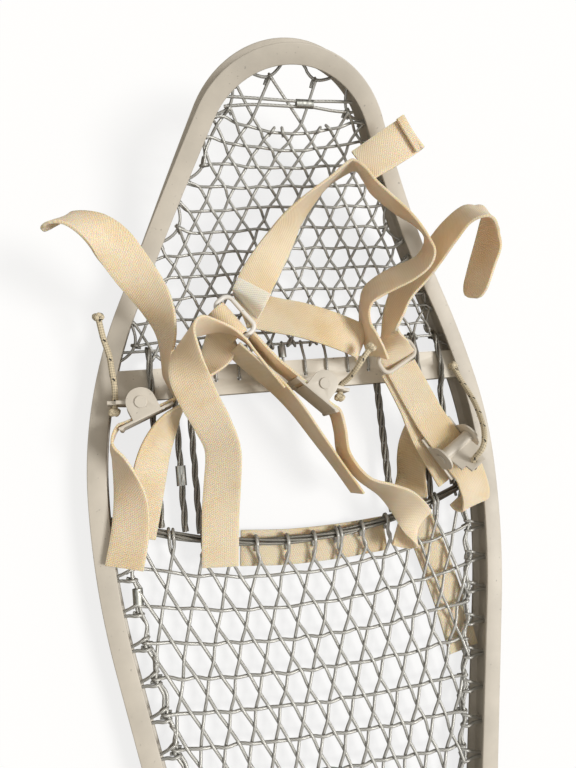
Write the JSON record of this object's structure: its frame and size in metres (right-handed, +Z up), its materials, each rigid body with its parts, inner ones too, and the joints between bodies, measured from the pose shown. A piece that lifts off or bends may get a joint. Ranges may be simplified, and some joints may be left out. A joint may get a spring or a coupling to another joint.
{
  "type": "trail snowshoe",
  "caption": "Long-tailed trail snowshoe: bent I-section rail with an upturned toe, laced cable nets and a webbing binding with cam buckles.",
  "frame": {"origin": "middle of the box of the frame and binding, at the rail's flat underside", "axes": "+Y along the shoe towards the upturned toe, +Z up from the snow, +X to the right of someone facing the toe"},
  "size_m": [0.305, 1.295, 0.1082],
  "materials": {
    "frame_paint": "satin warm off-white paint",
    "hardware_paint": "satin off-white paint",
    "loop_paint": "smooth white paint",
    "sleeve_metal": "plain crimped metal",
    "lacing_cable": "stranded cable in a thin clear-grey coating",
    "webbing": "woven cream webbing",
    "lanyard_cord": "braided cord with a dark tracer"
  },
  "bodies": {
    "left_cam": {"left_lever": "hardware_paint", "left_lanyard_cord": "lanyard_cord", "left_knots": "lanyard_cord"},
    "mid_cam": {"mid_lever": "hardware_paint", "mid_lanyard_cord": "lanyard_cord", "mid_knots": "lanyard_cord"},
    "right_cam": {"right_lever": "hardware_paint", "right_lanyard_cord": "lanyard_cord", "right_knots": "lanyard_cord"},
    "heel_loop": {"heel_strap": "webbing", "heel_strap_tab": "webbing"},
    "left_tail": {"left_strap_tail": "webbing"},
    "right_tail": {"right_strap_tail": "webbing"},
    "hanging_tail": {"hanging_strap": "webbing"},
    "shoe": {"frame_rail": "frame_paint", "toe_crossbar": "frame_paint", "rear_crossbar": "frame_paint", "tail_spacer": "frame_paint", "tail_rivets": "frame_paint", "toe_selvedge": "lacing_cable", "toe_ties": "lacing_cable", "toe_net": "lacing_cable", "body_selvedge": "lacing_cable", "body_ties": "lacing_cable", "body_net": "lacing_cable", "tail_net": "lacing_cable", "master_cord": "lacing_cable", "left_bridles": "lacing_cable", "right_bridles": "lacing_cable", "crimp_sleeves": "sleeve_metal", "left_buckle": "hardware_paint", "left_pin_rivet": "hardware_paint", "mid_buckle": "hardware_paint", "mid_pin_rivet": "hardware_paint", "right_buckle": "hardware_paint", "right_pin_rivet": "hardware_paint", "slide_loop": "loop_paint", "strap_ring": "hardware_paint", "left_strap": "webbing", "left_anchor_strap": "webbing", "instep_strap": "webbing", "right_strap": "webbing", "toe_strap": "webbing", "toe_inner_strap": "webbing", "under_strap": "webbing", "drop_strap": "webbing"}
  },
  "joints": [
    {"name": "left_cam_hinge", "type": "hinge", "parent": "shoe", "child": "left_cam", "pos_m": [-0.114, 0.41567, 0.0382], "axis": [0, 0, -1], "range_deg": [0, 30]},
    {"name": "mid_cam_hinge", "type": "hinge", "parent": "shoe", "child": "mid_cam", "pos_m": [0.01, 0.41867, 0.0382], "axis": [0, 0, 1], "range_deg": [0, 35]},
    {"name": "right_cam_hinge", "type": "hinge", "parent": "shoe", "child": "right_cam", "pos_m": [0.107, 0.36567, 0.0462], "axis": [-0.848, -0.5299, 0], "range_deg": [-12, 8]},
    {"name": "heel_loop_hinge", "type": "hinge", "parent": "shoe", "child": "heel_loop", "pos_m": [-0.0406, 0.47577, 0.0402], "axis": [0.9574, -0.2882, -0.0174], "range_deg": [0, 30]},
    {"name": "left_tail_hinge", "type": "hinge", "parent": "shoe", "child": "left_tail", "pos_m": [-0.0904, 0.41767, 0.0382], "axis": [0, 0, 1], "range_deg": [0, 18]},
    {"name": "right_tail_hinge", "type": "hinge", "parent": "shoe", "child": "right_tail", "pos_m": [0.075, 0.44517, 0.0347], "axis": [0, 0, 1], "range_deg": [-22, 2]},
    {"name": "hanging_tail_hinge", "type": "hinge", "parent": "shoe", "child": "hanging_tail", "pos_m": [-0.0514, 0.46757, 0.0402], "axis": [-0.6, 0.8, 0], "range_deg": [0, 15]}
  ]
}
